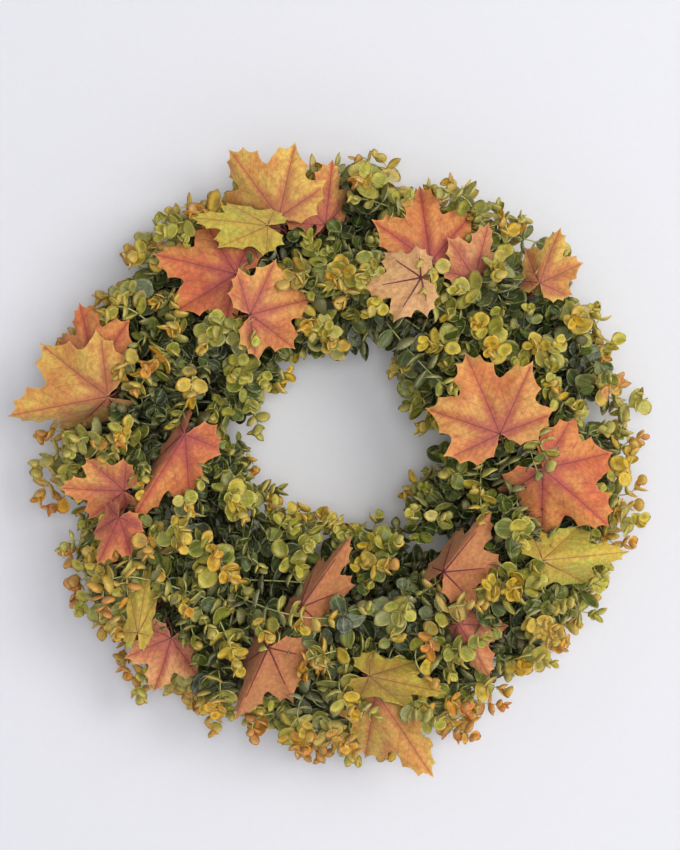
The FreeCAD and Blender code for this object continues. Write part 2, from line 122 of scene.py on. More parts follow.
class Build:
    """Collects the parts of one mesh, with a material index for each face and point attributes."""

    def __init__(self, attributes):
        self.widths = attributes
        self.verts, self.faces, self.slots = [], [], []
        self.values = {name: [] for name in attributes}
        self.count = 0

    def add(self, verts, faces, slot=0, **values):
        """Adds vertices and faces. An attribute that isn't given is zero there."""
        self.verts.append(verts)
        for group in faces:
            self.faces.append(group + self.count)
            self.slots.append(np.full(len(group), slot))
        for name, width in self.widths.items():
            value = np.zeros((len(verts), width))
            if name in values:
                value[:] = values[name]
            self.values[name].append(value)
        self.count += len(verts)

    def add_tube(self, points, radii, sides, slot=0, **values):
        verts, faces = tube(points, radii, sides)
        self.add(verts, faces, slot, **values)

    def object(self, name, materials):
        """Makes the mesh object, smooth shaded."""
        verts = np.concatenate(self.verts)
        sizes = np.concatenate([np.full(len(f), f.shape[1]) for f in self.faces])
        loops = np.concatenate([f.ravel() for f in self.faces])
        mesh = bpy.data.meshes.new(name)
        mesh.vertices.add(len(verts))
        mesh.vertices.foreach_set("co", verts.astype(np.float32).ravel())
        mesh.loops.add(len(loops))
        mesh.loops.foreach_set("vertex_index", loops.astype(np.int32))
        mesh.polygons.add(len(sizes))
        starts = np.concatenate([[0], np.cumsum(sizes)[:-1]])
        mesh.polygons.foreach_set("loop_start", starts.astype(np.int32))
        mesh.polygons.foreach_set("material_index", np.concatenate(self.slots).astype(np.int32))
        mesh.update(calc_edges=True)
        for attribute, width in self.widths.items():
            kind = "FLOAT_VECTOR" if width == 3 else "FLOAT"
            data = mesh.attributes.new(attribute, kind, "POINT")
            values = np.concatenate(self.values[attribute]).astype(np.float32).ravel()
            data.data.foreach_set("vector" if width == 3 else "value", values)
        for material in materials:
            mesh.materials.append(material)
        mesh.shade_smooth()
        mesh.validate()
        return new_object(name, mesh)


def carried_frames(points):
    """Tangents of a polyline, with normals carried along it without twist."""
    steps = np.gradient(points, axis=0)
    along = steps / np.linalg.norm(steps, axis=1)[:, None]
    first = np.cross(along[0], [0.31, 0.52, 0.79])
    normals = [unit(first)]
    for t in along[1:]:
        carried = normals[-1] - t * np.dot(t, normals[-1])
        normals.append(unit(carried))
    normals = np.array(normals)
    return along, normals, np.cross(along, normals)


STEM_SIDES = 8
END_ROUND = 0.6  # how far a tube's rounded end stands out, as a share of its radius


def tube(points, radii, sides):
    """A round tube along a polyline, with rounded ends."""
    points = np.asarray(points, dtype=float)
    radii = np.broadcast_to(radii, len(points)).astype(float)
    along, side, up = carried_frames(points)
    angles = (2 * np.pi * np.arange(sides) / sides)[None, :, None]
    ring = np.cos(angles) * side[:, None] + np.sin(angles) * up[:, None]
    verts = (points[:, None] + ring * radii[:, None, None]).reshape(-1, 3)
    i = np.arange(len(points) - 1)[:, None] * sides
    following = i + sides
    j = np.arange(sides)[None, :]
    k = (j + 1) % sides
    quads = np.stack([i + k, following + k, following + j, i + j], axis=-1).reshape(-1, 4)
    last = (len(points) - 1) * sides
    tips = points[[0, -1]] + along[[0, -1]] * radii[[0, -1], None] * END_ROUND * [[-1], [1]]
    n = len(verts)
    start = np.stack([np.full(sides, n), k[0], j[0]], axis=-1)[:, ::-1]
    end = np.stack([np.full(sides, n + 1), last + j[0], last + k[0]], axis=-1)[:, ::-1]
    return np.concatenate([verts, tips]), [quads, start, end]


def bezier(p0, p1, p2, p3, count):
    t = np.linspace(0, 1, count)[:, None]
    return (1 - t) ** 3 * p0 + 3 * (1 - t) ** 2 * t * p1 + 3 * (1 - t) * t**2 * p2 + t**3 * p3


# Materials


def srgb(r, g, b):
    """A colour given in 0 to 255 screen values, as the linear colour that a shader takes."""
    c = np.array([r, g, b]) / 255
    linear = np.where(c <= 0.04045, c / 12.92, ((c + 0.055) / 1.055) ** 2.4)
    return (*linear.tolist(), 1.0)


class Shader:
    """A material and short ways to add nodes to it."""

    def __init__(self, name):
        self.material = bpy.data.materials.new(name)
        self.material.use_nodes = True
        self.tree = self.material.node_tree
        self.tree.nodes.clear()
        self.output = self.tree.nodes.new("ShaderNodeOutputMaterial")

    def node(self, kind, inputs=None, **properties):
        made = self.tree.nodes.new(kind)
        for name, value in properties.items():
            setattr(made, name, value)
        for key, value in (inputs or {}).items():
            if isinstance(value, bpy.types.NodeSocket):
                self.tree.links.new(value, made.inputs[key])
            else:
                made.inputs[key].default_value = value
        return made

    def maths(self, operation, a, b=0.0, c=0.0, clamp=False):
        inputs = {0: a, 1: b, 2: c}
        return self.node("ShaderNodeMath", inputs, operation=operation, use_clamp=clamp).outputs[0]

    def times(self, a, b):
        return self.maths("MULTIPLY", a, b)

    def plus(self, a, b, clamp=False):
        return self.maths("ADD", a, b, clamp=clamp)

    def length(self, x, y):
        """How far a place in a plane is from the plane's middle."""
        return self.maths("SQRT", self.plus(self.times(x, x), self.times(y, y)))

    def between(self, value, low, high, to_low=0.0, to_high=1.0):
        """A smooth step of a value."""
        inputs = {0: value, 1: low, 2: high, 3: to_low, 4: to_high}
        return self.node("ShaderNodeMapRange", inputs, interpolation_type="SMOOTHSTEP").outputs[0]

    def mix(self, factor, a, b, blend="MIX"):
        inputs = {0: factor, 6: a, 7: b}
        return self.node("ShaderNodeMix", inputs, data_type="RGBA", blend_type=blend).outputs[2]

    def ramp(self, factor, stops):
        """Colours between stops, of which the first is at 0 and the last at 1."""
        made = self.node("ShaderNodeValToRGB", {0: factor})
        elements = made.color_ramp.elements
        elements[0].color, elements[1].color = srgb(*stops[0][1]), srgb(*stops[-1][1])
        for position, colour in stops[1:-1]:
            elements.new(position).color = srgb(*colour)
        return made.outputs[0]

    def attribute(self, name):
        """A point attribute's vector parts, or the same value three times."""
        read = self.node("ShaderNodeAttribute", attribute_name=name, attribute_type="GEOMETRY")
        parts = self.node("ShaderNodeSeparateXYZ", {0: read.outputs["Vector"]})
        return parts.outputs[0], parts.outputs[1], parts.outputs[2]

    def noise(self, scale, detail=2.0, roughness=0.5, stretch=(1, 1, 1)):
        """Noise in the object's own space, from 0 to 1."""
        place = self.node("ShaderNodeTexCoord").outputs["Object"]
        mapped = self.node("ShaderNodeMapping", {"Vector": place, "Scale": stretch})
        inputs = {"Vector": mapped.outputs[0], "Scale": scale, "Detail": detail, "Roughness": roughness}
        return self.node("ShaderNodeTexNoise", inputs).outputs[0]

    def streaks(self, x, y, along, around, detail):
        """Noise drawn out in rays from the middle of a plane, from 0 to 1."""
        turn = self.times(self.maths("ARCTAN2", x, y), around)
        reach = self.times(self.length(x, y), along)
        place = self.node("ShaderNodeCombineXYZ", {0: turn, 1: reach})
        inputs = {"Vector": place.outputs[0], "Scale": 1.0, "Detail": detail, "Roughness": 0.6}
        return self.node("ShaderNodeTexNoise", inputs).outputs[0]

    def bump(self, height, strength, distance):
        inputs = {"Strength": strength, "Distance": distance, "Height": height}
        return self.node("ShaderNodeBump", inputs).outputs[0]

    def mix_shaders(self, share, a, b):
        return self.node("ShaderNodeMixShader", {0: share, 1: a, 2: b}).outputs[0]

    def surface(self, translucent=0.0, one_sided=False, **inputs):
        """Ends the material in a Principled shader that may let light through or be clear from behind."""
        named = {key.replace("_", " "): value for key, value in inputs.items()}
        result = self.node("ShaderNodeBsdfPrincipled", named).outputs[0]
        if translucent:
            back = self.node("ShaderNodeBsdfTranslucent", {"Color": named["Base Color"]})
            result = self.mix_shaders(translucent, result, back.outputs[0])
        if one_sided:
            clear = self.node("ShaderNodeBsdfTransparent")
            behind = self.node("ShaderNodeNewGeometry").outputs["Backfacing"]
            result = self.mix_shaders(behind, result, clear.outputs[0])
        self.tree.links.new(result, self.output.inputs["Surface"])
        return self.material


# Colours of a eucalyptus leaf's face and rim, from old at 0 to young at 1
FACE_STOPS = [
    (0.0, (26, 34, 10)), (0.12, (56, 72, 26)), (0.28, (106, 122, 42)), (0.42, (170, 172, 58)),
    (0.56, (228, 216, 88)), (0.7, (255, 214, 66)), (0.84, (255, 194, 50)), (1.0, (255, 156, 72)),
]
RIM_STOPS = [
    (0.0, (104, 110, 62)), (0.25, (206, 196, 118)), (0.55, (248, 226, 134)), (0.8, (252, 208, 118)),
    (1.0, (255, 190, 104)),
]


def eucalyptus_leaf_material():
    """Soft moulded leaves: deep green where old, through olive and yellow to orange at the tips, and
    painted shade in darker green on leaves deep inside the wreath.
    """
    s = Shader("eucalyptus_leaf")
    across, along, rim = s.attribute("leaf_place")
    # age holds each leaf's age together with painted shade for its depth in the wreath; dust holds its
    # bloom, lessened by that painted shade too
    age, dust, side = s.attribute("leaf_tint")
    patches = s.noise(90)
    fine = s.noise(420, 3, 0.6)
    youth = s.plus(age, s.times(s.maths("SUBTRACT", patches, 0.5), 0.3), clamp=True)
    face, rim_colour = s.ramp(youth, FACE_STOPS), s.ramp(youth, RIM_STOPS)
    edge = s.times(s.between(rim, 0.66, 1.0), s.between(fine, 0.3, 0.62, 0.35, 0.9))
    colour = s.mix(edge, face, rim_colour)
    heart = s.times(s.between(rim, 0.7, 0.0), s.between(patches, 0.35, 0.65, 0.2, 0.75))
    colour = s.mix(heart, colour, srgb(92, 118, 44))
    midrib = s.between(s.maths("ABSOLUTE", across), 0.1, 0.0)
    colour = s.mix(s.times(midrib, 0.35), colour, srgb(226, 224, 146))
    bloom = s.times(dust, s.between(fine, 0.25, 0.6, 0.35, 1.0))
    colour = s.mix(bloom, colour, srgb(186, 194, 172))
    colour = s.mix(s.times(side, 0.4), colour, srgb(184, 166, 122))
    mottled = s.mix(s.between(fine, 0.3, 0.7), srgb(232, 232, 230), srgb(255, 255, 255))
    colour = s.mix(1.0, colour, mottled, "MULTIPLY")
    slant = s.times(s.maths("ABSOLUTE", across), -22)
    veins = s.maths("SINE", s.plus(s.times(along, 34), slant))
    relief = s.plus(s.times(veins, 0.12), s.times(midrib, 0.9))
    return s.surface(
        translucent=0.22,
        Base_Color=colour,
        Roughness=s.between(fine, 0.2, 0.8, 0.28, 0.46),
        Normal=s.bump(relief, 0.35, 0.0006),
    )


def twig_material(name, young, old, gloss):
    """Moulded stems, paler where young, with faint ridges along them."""
    s = Shader(name)
    age, _, _ = s.attribute("leaf_tint")
    grain = s.noise(500, 3, 0.6, (1, 1, 0.3))
    colour = s.mix(s.plus(age, s.times(grain, 0.2), clamp=True), old, young)
    return s.surface(
        Base_Color=colour,
        Roughness=s.between(grain, 0.2, 0.8, gloss, gloss + 0.2),
        Normal=s.bump(grain, 0.3, 0.0005),
    )


# Maple cloth: the main, the light and the deep wash, the underside, the blush by the base and the veins
PALETTES = {
    "orange": (
        (244, 152, 88), (255, 194, 106), (228, 120, 82),
        (242, 184, 126), (208, 112, 94), (140, 60, 66),
    ),
    "red": (
        (240, 130, 80), (252, 170, 94), (218, 98, 72),
        (238, 168, 114), (204, 100, 90), (134, 54, 64),
    ),
    "yellow": (
        (244, 174, 92), (254, 216, 108), (236, 144, 88),
        (240, 188, 122), (214, 130, 90), (144, 82, 70),
    ),
    "green": (
        (242, 212, 86), (228, 222, 92), (244, 190, 86),
        (232, 202, 118), (230, 192, 86), (150, 124, 64),
    ),
    "olive": (
        (212, 176, 62), (214, 200, 74), (202, 140, 56),
        (204, 162, 92), (190, 150, 66), (116, 88, 52),
    ),
    "pink": (
        (240, 154, 100), (252, 190, 122), (226, 124, 90),
        (218, 143, 88), (214, 120, 100), (134, 56, 64),
    ),
    "tan": (
        (242, 172, 108), (252, 202, 126), (228, 140, 96),
        (255, 204, 142), (220, 140, 106), (132, 52, 60),
    ),
}


THREADS = 9000  # weave of the cloth, in radians per metre


def maple_material(name):
    """Printed cloth: washes of colour, darker veins, a flat underside and a fine weave."""
    main, light, deep, under, blush_colour, vein_colour = (srgb(*rgb) for rgb in PALETTES[name])
    s = Shader(f"maple_{name}")
    main_vein, side_vein, rim = s.attribute("veins")
    x, y, side = s.attribute("blade")
    wash = s.noise(24, 3, 0.55)
    blotch = s.streaks(x, y, 52, 3.4, 3)
    streak = s.noise(240, 3, 0.6)
    away = s.between(main_vein, 1.0, 9.0)
    lightness = s.times(away, s.between(wash, 0.34, 0.58))
    colour = s.mix(lightness, main, light)
    colour = s.mix(s.times(s.between(blotch, 0.48, 0.7), 0.7), colour, deep)
    colour = s.mix(s.times(s.between(blotch, 0.46, 0.28), 0.6), colour, light)
    by_base = s.between(s.length(x, y), 60 * MM, 4 * MM)
    blush = s.times(by_base, s.between(main_vein, 11.0, 1.0, 0.3, 0.9))
    colour = s.mix(blush, colour, blush_colour)
    near = s.times(s.between(main_vein, 5.0, 0.4), 0.4)
    colour = s.mix(near, colour, blush_colour)
    strong = s.times(s.between(main_vein, 1.1, 0.2), 0.6)
    weak = s.times(s.between(side_vein, 0.8, 0.1), 0.26)
    lines = s.maths("MAXIMUM", strong, weak)
    colour = s.mix(s.times(lines, s.between(streak, 0.2, 0.6, 0.6, 1.0)), colour, vein_colour)
    colour = s.mix(s.times(s.between(rim, 2.2, 0.0), 0.35), colour, light)
    colour = s.mix(s.times(side, 0.72), colour, under)
    shade = s.mix(s.between(streak, 0.25, 0.75), srgb(214, 208, 204), srgb(255, 255, 255))
    colour = s.mix(1.0, colour, shade, "MULTIPLY")
    weave = s.times(*(s.maths("SINE", s.times(place, THREADS)) for place in (x, y)))
    height = s.plus(s.times(weave, 0.06), s.times(lines, -0.8))
    height = s.plus(height, s.times(blotch, 0.5))
    return s.surface(
        translucent=0.22,
        Base_Color=colour,
        Roughness=s.between(streak, 0.2, 0.8, 0.6, 0.8),
        Sheen_Weight=0.12,
        Normal=s.bump(height, 0.55, 0.0009),
    )


def metal_material(name, colour, worn, metallic, roughness):
    """Drawn wire, with a coat that is worn in small spots."""
    s = Shader(name)
    spots = s.noise(260, 4, 0.7)
    grain = s.noise(900)
    worn_share = s.times(s.between(spots, 0.6, 0.72), 0.7)
    return s.surface(
        Base_Color=s.mix(worn_share, colour, worn),
        Metallic=s.maths("MAXIMUM", metallic, worn_share),
        Roughness=s.between(grain, 0.2, 0.8, roughness, roughness + 0.18),
        Normal=s.bump(s.plus(spots, grain), 0.25, 0.0003),
    )


LEAF = eucalyptus_leaf_material()
TWIG = twig_material("eucalyptus_twig", srgb(196, 200, 124), srgb(96, 102, 60), 0.42)
MAPLE_STEM = twig_material("maple_stem_plastic", srgb(132, 56, 56), srgb(88, 34, 38), 0.4)
MAPLE = {name: maple_material(name) for name in PALETTES}
FRAME_WIRE = metal_material("green_lacquered_wire", srgb(34, 54, 34), srgb(112, 112, 104), 0.0, 0.32)
LOOP_WIRE = metal_material("galvanised_wire", srgb(168, 168, 164), srgb(120, 118, 112), 1.0, 0.3)
TIE_WIRE = metal_material("binding_wire", srgb(44, 74, 42), srgb(108, 108, 100), 0.0, 0.38)


# Eucalyptus leaves

LEAF_CELLS = 5
TIP_LENGTH = 70 * MM  # how far back from its tip a twig is still young
BARE_SHARE = 0.14  # share of a twig, at its root, that has no leaves
# Degrees by which the leaves at the tip stand off the twig, and how much more the others do
BUD_OPENING, MORE_OPENING = 38, 38
# Millimetres from the first pair of leaves to the second, then between young pairs, and how much more later
FIRST_GAP, YOUNG_GAP, MORE_GAP = 6.5, 9.5, 4.5
SEAT = 0.4  # in mm, how far out from the twig's middle a leaf starts
LEAF_CLEAR, TWIG_CLEAR = 5 * MM, 9 * MM  # room kept between the maple blades and the leaves and twigs
# Painted shade: leaves deep inside the wreath keep only this share of their youth and bloom, so they are
# coloured darker green where shadow falls.
PAINTED_DEEP_SHADE = 0.16  # share of its youth and bloom that a leaf keeps deep inside the wreath


def leaf_template(width, cup, curl, point):
    """A unit leaf along +Y from its petiole, cupped to +Z, with its places and which side each is on."""
    n = LEAF_CELLS
    g = np.linspace(-1, 1, n + 1)
    gx, gy = np.meshgrid(g, g, indexing="ij")
    x = gx * np.sqrt(1 - gy**2 / 2)
    y = gy * np.sqrt(1 - gx**2 / 2)
    rim = np.maximum(np.abs(gx), np.abs(gy))
    along = (y + 1) / 2
    half = width / 2 * (0.78 + 0.22 * smooth(0, 0.55, along))
    narrow = np.exp(-((x / 0.2) ** 2))
    long = along + point * narrow * smooth(0.75, 1, along) - 0.07 * narrow * smooth(0.2, 0, along)
    height = cup * (x**2 + 0.7 * y**2) + curl * along**2
    top = np.stack([x * half, long, height], axis=-1).reshape(-1, 3)
    place = np.stack([x, along, rim], axis=-1).reshape(-1, 3)
    index = np.arange((n + 1) ** 2).reshape(n + 1, n + 1)
    inner = index[1:-1, 1:-1].ravel()
    thick = 0.04 * (1 - rim.ravel()[inner] ** 3)
    bottom = top[inner] - np.array([0, 0, 1]) * thick[:, None]
    under = index.copy()
    under[1:-1, 1:-1] = len(top) + np.arange(len(inner)).reshape(n - 1, n - 1)

    def quads(table):
        corners = [table[:-1, :-1], table[1:, :-1], table[1:, 1:], table[:-1, 1:]]
        return np.stack(corners, axis=-1).reshape(-1, 4)

    faces = np.concatenate([quads(index), quads(under)[:, ::-1]])
    side = np.concatenate([np.zeros(len(top)), np.ones(len(bottom))])
    return np.concatenate([top, bottom]), faces, np.concatenate([place, place[inner]]), side


TEMPLATES = [
    leaf_template(1.0, 0.18, 0.1, 0.03),
    leaf_template(0.92, 0.26, -0.1, 0.06),
    leaf_template(0.86, 0.18, -0.22, 0.08),
    leaf_template(1.06, 0.2, 0.16, 0.0),
    leaf_template(0.8, 0.22, 0.14, 0.1),
    leaf_template(0.96, 0.3, -0.16, 0.04),
]


def add_leaf(build, template, base, direction, facing, size, tint):
    """Adds one leaf: its petiole at base, its length along direction, its hollow side to facing."""
    verts, faces, place, side = template
    direction = unit(direction)
    facing = unit(facing - direction * np.dot(facing, direction))
    across = np.cross(direction, facing)
    placed = base + size * (verts[:, :1] * across + verts[:, 1:2] * direction + verts[:, 2:] * facing)
    tints = np.column_stack([np.full((len(verts), 2), tint), side])
    build.add(placed, [faces], leaf_place=place, leaf_tint=tints)


def add_twig(build, rng, path, youth, warm_share, big, small, blocked):
    """Adds a twig along a path: crossed pairs of leaves that shrink and close up towards a budded tip."""
    steps = np.linalg.norm(np.diff(path, axis=0), axis=1)
    reach = np.concatenate([[0], np.cumsum(steps)])
    length = reach[-1]
    along, side, up = carried_frames(path)
    radii = np.interp(reach / length, [0, 1], [1.0 * MM, 0.65 * MM])
    build.add_tube(path, radii, 5, 1, leaf_tint=[0.25 + 0.6 * youth, 0, 0])
    turn = rng.uniform(0, math.pi)
    dusty = rng.uniform(0, 1) ** 1.4
    warmest = rng.uniform(0.85, 1.0) if rng.random() < warm_share else rng.uniform(0.5, 0.8)
    at = length
    leaves = []
    while at > BARE_SHARE * length:
        left = (length - at) / TIP_LENGTH
        point = np.array([np.interp(at, reach, path[:, i]) for i in range(3)])
        k = min(int(np.searchsorted(reach, at)), len(path) - 1)
        age = np.clip(1 - left, 0, 1) ** 1.5
        size = small + (big - small) * smooth(0.0, 0.55, left)
        opening = math.radians(BUD_OPENING + MORE_OPENING * float(smooth(0, 0.35, left)))
        for way in (0, math.pi):
            spin = turn + way + rng.normal(0, 0.18)
            out = side[k] * math.cos(spin) + up[k] * math.sin(spin)
            angle = opening + rng.normal(0, 0.22)
            direction = along[k] * math.cos(angle) + out * math.sin(angle)
            facing = along[k] * math.sin(angle) - out * math.cos(angle)
            facing = turned(facing, unit(direction), rng.normal(0, 0.4))
            tint = 0.34 * youth + 0.58 * age * (0.35 + 0.65 * youth / 0.55) + rng.normal(0, 0.1)
            tint = np.clip(tint, 0, warmest)
            bloom = np.clip(dusty * (1 - age) * rng.uniform(0.1, 1.1), 0, 0.8)
            grown = size * rng.uniform(0.84, 1.14)
            leaves.append((point + out * SEAT * MM, direction, facing, grown, (tint, bloom)))
        turn += math.pi / 2 + rng.normal(0, 0.12)
        gap = FIRST_GAP if at == length else YOUNG_GAP + MORE_GAP * float(smooth(0, 0.7, left))
        at -= gap * MM * rng.uniform(0.9, 1.1)
    middles = np.array([p + unit(d) * size * 0.55 for p, d, _, size, _ in leaves])
    hidden = blocked(middles, LEAF_CLEAR)
    # Painted shade: the deeper a leaf lies in the wreath, the darker green it is coloured.
    painted_shade = PAINTED_DEEP_SHADE + (1 - PAINTED_DEEP_SHADE) * smooth(0.5, 0.92, exposure(middles))
    kinds = rng.integers(len(TEMPLATES), size=len(leaves))
    for leaf, kind, drop, share in zip(leaves, kinds, hidden, painted_shade):
        if not drop:
            tint, bloom = leaf[-1]
            add_leaf(build, TEMPLATES[kind], *leaf[:-1], (tint * share, bloom * share))


# Where the twigs' tips lie: a rounded envelope about a core ring

CORE_RADIUS, CORE_DEPTH = 188 * MM, 42 * MM
REACH_OUT, REACH_FRONT, REACH_BACK = 106 * MM, 88 * MM, 30 * MM
LAST_ROW = 200
INNER_EDGE, INNER_RISE = 82, 34  # the opening's radius at its sides, and how much more at its top, in mm
ROW_REACH = 108  # in mm, how far out the rows are when their tips are counted
LONG_SHARE = 0.34  # share of the twigs that stand out past the others
LONG_REACH, SHORT_REACH = (0.99, 1.2), (0.68, 0.98)  # shares of the envelope that they reach
FRONT_FROM, INNER_FROM = 44, 122  # poloidal angles at which the front and the inner sprays take over
BIG_LEAF, SMALL_LEAF = (17, 25), (10, 14)  # lengths in mm of a twig's old leaves, and of those at its tip
# Rows of tips: the first one's poloidal angle, the step to the next, the spacing and share of the way out
TIP_LAYERS = ((-24, 16, 27 * MM, 1.0), (-20, 28, 34 * MM, 0.62), (-40, 40, 34 * MM, 0.36))


def opening_edge(rise):
    """Radius of the wreath's opening, where rise is the sine of the angle round the wreath."""
    return (INNER_EDGE + INNER_RISE * rise) * MM


def envelope(angle, poloidal, share):
    """A point at a share of the way out to the envelope, and the way out of it there."""
    c, s = math.cos(math.radians(poloidal)), math.sin(math.radians(poloidal))
    inner_edge = opening_edge(math.sin(math.radians(angle)))
    reach_out = REACH_OUT if c > 0 else CORE_RADIUS - inner_edge
    reach_front = REACH_FRONT if s > 0 else REACH_BACK
    offset = radial(angle) * c * reach_out * share + FRONT * s * reach_front * share
    return polar(angle, CORE_RADIUS, -CORE_DEPTH) + offset, unit(radial(angle) * c + FRONT * s)


def exposure(points):
    """How far out each point lies between the core ring, at 0, and the envelope, at 1."""
    x, y, z = (points - CENTRE).T
    radius = np.hypot(x, z)
    inner_edge = opening_edge(z / radius)
    out = (radius - CORE_RADIUS) / np.where(radius > CORE_RADIUS, REACH_OUT, CORE_RADIUS - inner_edge)
    ahead = (-y - CORE_DEPTH) / np.where(-y > CORE_DEPTH, REACH_FRONT, REACH_BACK)
    return np.hypot(out, ahead)


def tip_rows():
    """Rows of tips round the wreath: the poloidal angle, how many, and their share of the envelope."""
    rows = []
    for first, step, spacing, share in TIP_LAYERS:
        for poloidal in range(first, LAST_ROW, step):
            c = math.cos(math.radians(poloidal))
            radius = CORE_RADIUS + c * ROW_REACH * MM * share
            rows.append((poloidal, round(2 * math.pi * radius / spacing), share))
    return rows


def spray_stems():
    """Each spray's name, tie angle, the stem's way, and its stem's path from the tied foot to its top."""
    stems = []
    for family, (angles, ring, y, outward, tilt, neck, top) in SPRAY_FAMILIES.items():
        lean = math.radians(tilt)
        top = top * MM
        for i, angle in enumerate(angles):
            axis = radial(angle) * outward * math.cos(lean) + FRONT * math.sin(lean)
            along = tangent(angle)
            foot = polar(angle, ring, y) + FRONT * FOOT_OFFSET
            corner = foot + along * 16 * MM
            base = corner + axis * (neck + 8) * MM
            start, end = foot + along * 8 * MM, corner + axis * 8 * MM
            bend = bezier(start, corner - along * 3 * MM, corner + axis * 3 * MM, end, 7)
            path = np.concatenate([[foot - along * 8 * MM], bend, [base, base + axis * top]])
            stems.append((f"{family}_{i + 1:02d}", family, angle, axis, base, top, path))
    return stems


def nearest_stems(stems, poloidal, angle):
    """The indices of three stems that may bear a tip, nearest first, of the family that is on its side."""
    inside_family = "front_spray" if poloidal < INNER_FROM else "inner_spray"
    family = "outer_spray" if poloidal < FRONT_FROM else inside_family

    def apart(item):
        beside_tie = stems[item][2] + 4
        return abs((beside_tie - angle + 180) % 360 - 180)

    return sorted((i for i in range(len(stems)) if stems[i][1] == family), key=apart)[:3]


def twig_path(stems, near, where, target, end, blocked):
    """The stem that a twig grows from and its path to the target, cut short if every way is blocked."""
    best, path = -1, []
    for k in near:
        _, _, _, axis, base, top, _ = stems[k]
        root = base + axis * top * where
        run = np.linalg.norm(target - root)
        start = unit(axis * 0.5 + unit(target - root))
        tried = bezier(root, root + start * run * 0.35, target - end * run * 0.38, target, TWIG_POINTS)
        crossing = blocked(tried, TWIG_CLEAR)
        if crossing.any():
            tried = tried[: int(np.argmax(crossing))]
        if len(tried) > len(path):
            best, path = k, tried
        if not crossing.any():
            break
    return best, path


# Room kept free of leaves for the hanging loop: at each side, in front, and below the hinge
LOOP_SIDE, LOOP_FRONT, LOOP_BELOW = 24 * MM, 28 * MM, 16 * MM
SEED = 11
TWIG_POINTS, FEWEST_POINTS = 17, 7  # points along a twig's path, and the fewest left when it is cut short


def grow_sprays(blades):
    """Grows every twig from its spray's stem, and makes one object for each spray."""

    def blocked(points, near):
        """Which points touch or hide a maple blade, or are by the hanging loop."""
        x, y, z = points.T
        found = (np.abs(x) < LOOP_SIDE) & (y > -LOOP_FRONT) & (z > HINGE_Z - LOOP_BELOW)
        for blade in blades.values():
            found |= blade.covers(points, near)
        return found

    rng = np.random.default_rng(SEED)
    stems = spray_stems()
    builds = [Build({"leaf_place": 3, "leaf_tint": 3}) for _ in stems]
    for build, stem in zip(builds, stems):
        path = stem[-1]
        build.add_tube(path, np.linspace(1.2, 1.0, len(path)) * MM, STEM_SIDES, 1, leaf_tint=[0.1, 0, 0])
    for poloidal, count, share in tip_rows():
        offset = rng.uniform(0, 360)
        for i in range(count):
            angle = offset + 360 * (i + rng.uniform(-0.4, 0.4)) / count
            around = poloidal + rng.normal(0, 6)
            has_room = around < 110 or math.sin(math.radians(angle)) > 0.3
            is_long = rng.random() < LONG_SHARE and has_room
            reach = share * rng.uniform(*(LONG_REACH if is_long else SHORT_REACH))
            target, out = envelope(angle, around, reach)
            where = rng.uniform(0.1, 0.95)
            sideways = tangent(angle) * rng.uniform(0.4, 1.4) - UP * rng.uniform(0.2, 0.9)
            end = unit(out * 0.45 + sideways + rng.normal(0, 0.36, 3))
            forward = float(smooth(15, 60, around))
            green = 0.12 * math.cos(math.radians(angle - 55)) + 0.14 * forward - 0.04
            # Twigs whose tips stop short of the envelope get less youth, so their leaves are coloured
            # darker green: painted shade for the deep layers.
            youth = np.clip(rng.normal(0.59, 0.26) - 1.6 * (0.92 - reach) - green, 0, 1)
            big, small = rng.uniform(*BIG_LEAF) * MM, rng.uniform(*SMALL_LEAF) * MM
            near = nearest_stems(stems, around, angle)
            best, path = twig_path(stems, near, where, target, end, blocked)
            if len(path) >= FEWEST_POINTS:
                add_twig(builds[best], rng, path, youth, 0.36 - 2 * green, big, small, blocked)
    for build, stem in zip(builds, stems):
        name = stem[0]
        obj = build.object(f"{name}_leaves", [LEAF, TWIG])
        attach(obj, "wreath")
        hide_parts(name)


# Maple leaves

HALF_BLADE = [
    (7, -10), (17, -22), (28, -21), (39, -25), (45, -15), (57, -14), (60, -5), (72, 2), (62, 9), (55, 16),
    (55, 22), (66, 29), (63, 40), (70, 63), (56, 61), (50, 69), (35, 63), (26, 60), (23, 66), (27, 80),
    (18, 84), (15, 95), (7, 94),
]
BLADE_TIP = (0, 105)
# Maple leaves that lie among the twigs, with twigs in front of them
AMONG_TWIGS = {"top_right_pink", "top_right_yellow", "lower_left_pink", "bottom_large", "lower_right_outer"}
RIB_TIPS = [(0, 90), (58, 52), (-58, 52), (54, -2), (-54, -2)]

